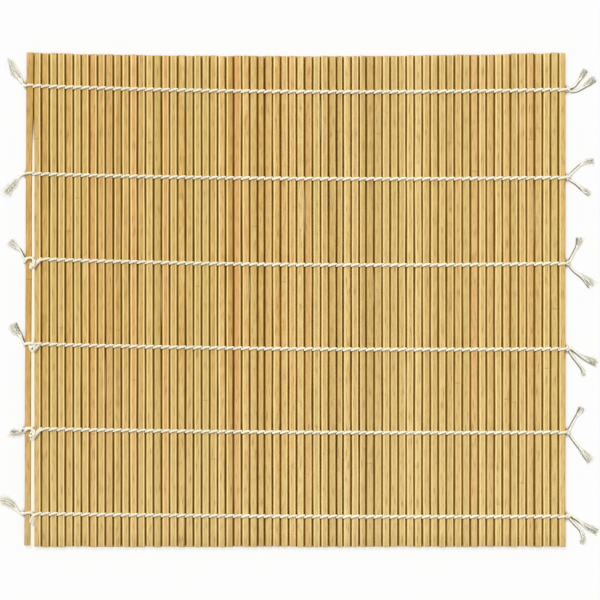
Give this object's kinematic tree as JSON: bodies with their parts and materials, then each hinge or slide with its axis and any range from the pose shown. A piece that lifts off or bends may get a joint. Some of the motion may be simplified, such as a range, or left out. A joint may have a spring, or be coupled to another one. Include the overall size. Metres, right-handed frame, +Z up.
{
  "type": "sushi rolling mat",
  "caption": "Flat mat of slim bamboo slats held side by side by rows of twined cotton thread, knotted at both edges, that rolls up along the slats.",
  "frame": {"origin": "centre of the mat's footprint, on the surface it lies on", "axes": "+X along the thread rows, to the edge with the long tails; +Y along the slats; +Z up"},
  "size_m": [0.2926, 0.2413, 0.0054],
  "materials": {
    "bamboo": "satin",
    "cotton_thread": "matte"
  },
  "bodies": {
    "slats_01_02_group": {"slats_01_02": "bamboo", "stitches_01_02": "cotton_thread", "left_knots": "cotton_thread"},
    "slats_03_04_group": {"slats_03_04": "bamboo", "stitches_03_04": "cotton_thread"},
    "slats_05_06_group": {"slats_05_06": "bamboo", "stitches_05_06": "cotton_thread"},
    "slats_07_08_group": {"slats_07_08": "bamboo", "stitches_07_08": "cotton_thread"},
    "slats_09_10_group": {"slats_09_10": "bamboo", "stitches_09_10": "cotton_thread"},
    "slats_11_12_group": {"slats_11_12": "bamboo", "stitches_11_12": "cotton_thread"},
    "slats_13_14_group": {"slats_13_14": "bamboo", "stitches_13_14": "cotton_thread"},
    "slats_15_16_group": {"slats_15_16": "bamboo", "stitches_15_16": "cotton_thread"},
    "slats_17_18_group": {"slats_17_18": "bamboo", "stitches_17_18": "cotton_thread"},
    "slats_19_20_group": {"slats_19_20": "bamboo", "stitches_19_20": "cotton_thread"},
    "slats_21_22_group": {"slats_21_22": "bamboo", "stitches_21_22": "cotton_thread"},
    "slats_23_24_group": {"slats_23_24": "bamboo", "stitches_23_24": "cotton_thread"},
    "slats_25_26_group": {"slats_25_26": "bamboo", "stitches_25_26": "cotton_thread"},
    "slats_27_28_group": {"slats_27_28": "bamboo", "stitches_27_28": "cotton_thread"},
    "slats_29_30_group": {"slats_29_30": "bamboo", "stitches_29_30": "cotton_thread"},
    "slats_31_32_group": {"slats_31_32": "bamboo", "stitches_31_32": "cotton_thread"},
    "slats_33_35_group": {"slats_33_35": "bamboo", "stitches_33_35": "cotton_thread"},
    "slats_36_38_group": {"slats_36_38": "bamboo", "stitches_36_38": "cotton_thread"},
    "slats_39_41_group": {"slats_39_41": "bamboo", "stitches_39_41": "cotton_thread"},
    "slats_42_44_group": {"slats_42_44": "bamboo", "stitches_42_44": "cotton_thread"},
    "slats_45_47_group": {"slats_45_47": "bamboo", "stitches_45_47": "cotton_thread"},
    "slats_48_50_group": {"slats_48_50": "bamboo", "stitches_48_50": "cotton_thread"},
    "slats_51_53_group": {"slats_51_53": "bamboo", "stitches_51_53": "cotton_thread"},
    "slats_54_56_group": {"slats_54_56": "bamboo", "stitches_54_56": "cotton_thread"},
    "slats_57_59_group": {"slats_57_59": "bamboo", "stitches_57_59": "cotton_thread"},
    "slats_60_62_group": {"slats_60_62": "bamboo", "stitches_60_62": "cotton_thread"},
    "slats_63_65_group": {"slats_63_65": "bamboo", "stitches_63_65": "cotton_thread"},
    "slats_66_68_group": {"slats_66_68": "bamboo", "stitches_66_68": "cotton_thread", "right_knots": "cotton_thread", "right_tails": "cotton_thread"},
    "loose_left_tails": {"left_tails": "cotton_thread"}
  },
  "joints": [
    {"name": "roll_up", "type": "hinge", "parent": "slats_66_68_group", "child": "slats_63_65_group", "pos_m": [0.12032, 0, 0.00175], "axis": [0, 1, 0], "range_deg": [0, 25.07]},
    {"name": "bend_62_63", "type": "hinge", "parent": "slats_63_65_group", "child": "slats_60_62_group", "pos_m": [0.10859, 0, 0.00175], "axis": [0, 1, 0], "range_deg": [0, 25.47]},
    {"name": "bend_59_60", "type": "hinge", "parent": "slats_60_62_group", "child": "slats_57_59_group", "pos_m": [0.09686, 0, 0.00175], "axis": [0, 1, 0], "range_deg": [0, 25.88]},
    {"name": "bend_56_57", "type": "hinge", "parent": "slats_57_59_group", "child": "slats_54_56_group", "pos_m": [0.08513, 0, 0.00175], "axis": [0, 1, 0], "range_deg": [0, 26.31]},
    {"name": "bend_53_54", "type": "hinge", "parent": "slats_54_56_group", "child": "slats_51_53_group", "pos_m": [0.0734, 0, 0.00175], "axis": [0, 1, 0], "range_deg": [0, 26.76]},
    {"name": "bend_50_51", "type": "hinge", "parent": "slats_51_53_group", "child": "slats_48_50_group", "pos_m": [0.06167, 0, 0.00175], "axis": [0, 1, 0], "range_deg": [0, 27.24]},
    {"name": "bend_47_48", "type": "hinge", "parent": "slats_48_50_group", "child": "slats_45_47_group", "pos_m": [0.04994, 0, 0.00175], "axis": [0, 1, 0], "range_deg": [0, 27.75]},
    {"name": "bend_44_45", "type": "hinge", "parent": "slats_45_47_group", "child": "slats_42_44_group", "pos_m": [0.03821, 0, 0.00175], "axis": [0, 1, 0], "range_deg": [0, 27.68]},
    {"name": "bend_41_42", "type": "hinge", "parent": "slats_42_44_group", "child": "slats_39_41_group", "pos_m": [0.02698, 0, 0.00175], "axis": [0, 1, 0], "range_deg": [0, 27.35]},
    {"name": "bend_38_39", "type": "hinge", "parent": "slats_39_41_group", "child": "slats_36_38_group", "pos_m": [0.01595, 0, 0.00175], "axis": [0, 1, 0], "range_deg": [0, 28.52]},
    {"name": "bend_35_36", "type": "hinge", "parent": "slats_36_38_group", "child": "slats_33_35_group", "pos_m": [0.00422, 0, 0.00175], "axis": [0, 1, 0], "range_deg": [0, 30.02]},
    {"name": "bend_32_33", "type": "hinge", "parent": "slats_33_35_group", "child": "slats_31_32_group", "pos_m": [-0.00751, 0, 0.00175], "axis": [0, 1, 0], "range_deg": [0, 25.54]},
    {"name": "bend_30_31", "type": "hinge", "parent": "slats_31_32_group", "child": "slats_29_30_group", "pos_m": [-0.01533, 0, 0.00175], "axis": [0, 1, 0], "range_deg": [0, 20.01]},
    {"name": "bend_28_29", "type": "hinge", "parent": "slats_29_30_group", "child": "slats_27_28_group", "pos_m": [-0.02257, 0, 0.00175], "axis": [0, 1, 0], "range_deg": [0, 20.32]},
    {"name": "bend_26_27", "type": "hinge", "parent": "slats_27_28_group", "child": "slats_25_26_group", "pos_m": [-0.03039, 0, 0.00175], "axis": [0, 1, 0], "range_deg": [0, 21.45]},
    {"name": "bend_24_25", "type": "hinge", "parent": "slats_25_26_group", "child": "slats_23_24_group", "pos_m": [-0.03821, 0, 0.00175], "axis": [0, 1, 0], "range_deg": [0, 21.82]},
    {"name": "bend_22_23", "type": "hinge", "parent": "slats_23_24_group", "child": "slats_21_22_group", "pos_m": [-0.04603, 0, 0.00175], "axis": [0, 1, 0], "range_deg": [0, 22.2]},
    {"name": "bend_20_21", "type": "hinge", "parent": "slats_21_22_group", "child": "slats_19_20_group", "pos_m": [-0.05385, 0, 0.00175], "axis": [0, 1, 0], "range_deg": [0, 22.61]},
    {"name": "bend_18_19", "type": "hinge", "parent": "slats_19_20_group", "child": "slats_17_18_group", "pos_m": [-0.06167, 0, 0.00175], "axis": [0, 1, 0], "range_deg": [0, 23.05]},
    {"name": "bend_16_17", "type": "hinge", "parent": "slats_17_18_group", "child": "slats_15_16_group", "pos_m": [-0.06949, 0, 0.00175], "axis": [0, 1, 0], "range_deg": [0, 23.51]},
    {"name": "bend_14_15", "type": "hinge", "parent": "slats_15_16_group", "child": "slats_13_14_group", "pos_m": [-0.07731, 0, 0.00175], "axis": [0, 1, 0], "range_deg": [0, 24]},
    {"name": "bend_12_13", "type": "hinge", "parent": "slats_13_14_group", "child": "slats_11_12_group", "pos_m": [-0.08513, 0, 0.00175], "axis": [0, 1, 0], "range_deg": [0, 24.52]},
    {"name": "bend_10_11", "type": "hinge", "parent": "slats_11_12_group", "child": "slats_09_10_group", "pos_m": [-0.09295, 0, 0.00175], "axis": [0, 1, 0], "range_deg": [0, 25.07]},
    {"name": "bend_08_09", "type": "hinge", "parent": "slats_09_10_group", "child": "slats_07_08_group", "pos_m": [-0.10077, 0, 0.00175], "axis": [0, 1, 0], "range_deg": [0, 25.67]},
    {"name": "bend_06_07", "type": "hinge", "parent": "slats_07_08_group", "child": "slats_05_06_group", "pos_m": [-0.10859, 0, 0.00175], "axis": [0, 1, 0], "range_deg": [0, 26.31]},
    {"name": "bend_04_05", "type": "hinge", "parent": "slats_05_06_group", "child": "slats_03_04_group", "pos_m": [-0.11641, 0, 0.00175], "axis": [0, 1, 0], "range_deg": [0, 27]},
    {"name": "bend_02_03", "type": "hinge", "parent": "slats_03_04_group", "child": "slats_01_02_group", "pos_m": [-0.12423, 0, 0.00175], "axis": [0, 1, 0], "range_deg": [0, 27.74]},
    {"name": "left_tails_bend", "type": "hinge", "parent": "slats_01_02_group", "child": "loose_left_tails", "pos_m": [-0.13302, 0.10452, 0.0004], "axis": [0.0044, 1, 0], "range_deg": [0, 35]}
  ],
  "couplings": [
    {"joint": "bend_62_63", "follows": "roll_up", "ratio": 1.0156},
    {"joint": "bend_59_60", "follows": "roll_up", "ratio": 1.032},
    {"joint": "bend_56_57", "follows": "roll_up", "ratio": 1.0492},
    {"joint": "bend_53_54", "follows": "roll_up", "ratio": 1.0673},
    {"joint": "bend_50_51", "follows": "roll_up", "ratio": 1.0864},
    {"joint": "bend_47_48", "follows": "roll_up", "ratio": 1.1065},
    {"joint": "bend_44_45", "follows": "roll_up", "ratio": 1.1038},
    {"joint": "bend_41_42", "follows": "roll_up", "ratio": 1.0909},
    {"joint": "bend_38_39", "follows": "roll_up", "ratio": 1.1374},
    {"joint": "bend_35_36", "follows": "roll_up", "ratio": 1.1973},
    {"joint": "bend_32_33", "follows": "roll_up", "ratio": 1.0184},
    {"joint": "bend_30_31", "follows": "roll_up", "ratio": 0.79792},
    {"joint": "bend_28_29", "follows": "roll_up", "ratio": 0.81029},
    {"joint": "bend_26_27", "follows": "roll_up", "ratio": 0.85535},
    {"joint": "bend_24_25", "follows": "roll_up", "ratio": 0.87006},
    {"joint": "bend_22_23", "follows": "roll_up", "ratio": 0.88556},
    {"joint": "bend_20_21", "follows": "roll_up", "ratio": 0.90192},
    {"joint": "bend_18_19", "follows": "roll_up", "ratio": 0.91922},
    {"joint": "bend_16_17", "follows": "roll_up", "ratio": 0.93755},
    {"joint": "bend_14_15", "follows": "roll_up", "ratio": 0.95703},
    {"joint": "bend_12_13", "follows": "roll_up", "ratio": 0.97777},
    {"joint": "bend_10_11", "follows": "roll_up", "ratio": 0.99993},
    {"joint": "bend_08_09", "follows": "roll_up", "ratio": 1.0237},
    {"joint": "bend_06_07", "follows": "roll_up", "ratio": 1.0492},
    {"joint": "bend_04_05", "follows": "roll_up", "ratio": 1.0767},
    {"joint": "bend_02_03", "follows": "roll_up", "ratio": 1.1065},
    {"joint": "left_tails_bend", "follows": "roll_up", "ratio": 1.396}
  ]
}
